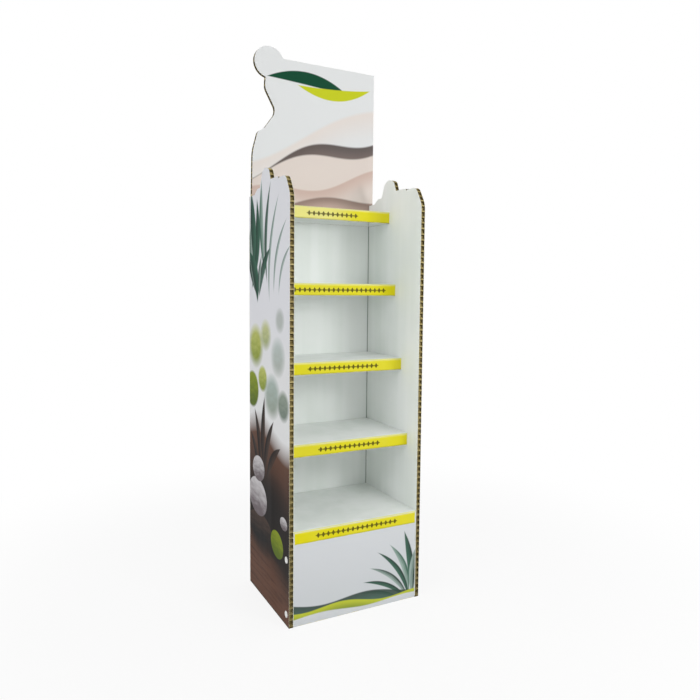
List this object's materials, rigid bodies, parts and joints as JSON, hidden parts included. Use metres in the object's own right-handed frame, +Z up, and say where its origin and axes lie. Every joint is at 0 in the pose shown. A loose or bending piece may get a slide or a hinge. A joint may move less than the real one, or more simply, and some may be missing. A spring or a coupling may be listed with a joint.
{
  "type": "cardboard floor display stand",
  "caption": "Free-standing display stand of honeycomb board with a die-cut header and stepped shelves folded from card.",
  "frame": {"origin": "middle of the footprint, on the floor", "axes": "+Z up, the open front faces -Y, +X to the right seen from the front"},
  "size_m": [0.4536, 0.356, 1.7745],
  "materials": {
    "honeycomb_board": "white coated liners on a brown honeycomb core",
    "folded_card": "white coated card",
    "printed_strip": "yellow print, satin",
    "rivet": "white moulded plastic"
  },
  "bodies": {
    "root": {"left_side_board": "honeycomb_board", "right_side_board": "honeycomb_board", "back_board": "honeycomb_board", "base_tray": "folded_card", "base_strip": "printed_strip", "base_riser": "folded_card", "shelf_tray_1": "folded_card", "shelf_strip_1": "printed_strip", "shelf_tray_2": "folded_card", "shelf_strip_2": "printed_strip", "shelf_tray_3": "folded_card", "shelf_strip_3": "printed_strip", "shelf_tray_4": "folded_card", "shelf_strip_4": "printed_strip", "rivet_left_upper": "rivet", "rivet_left_lower": "rivet", "rivet_right_upper": "rivet", "rivet_right_lower": "rivet"}
  },
  "joints": []
}
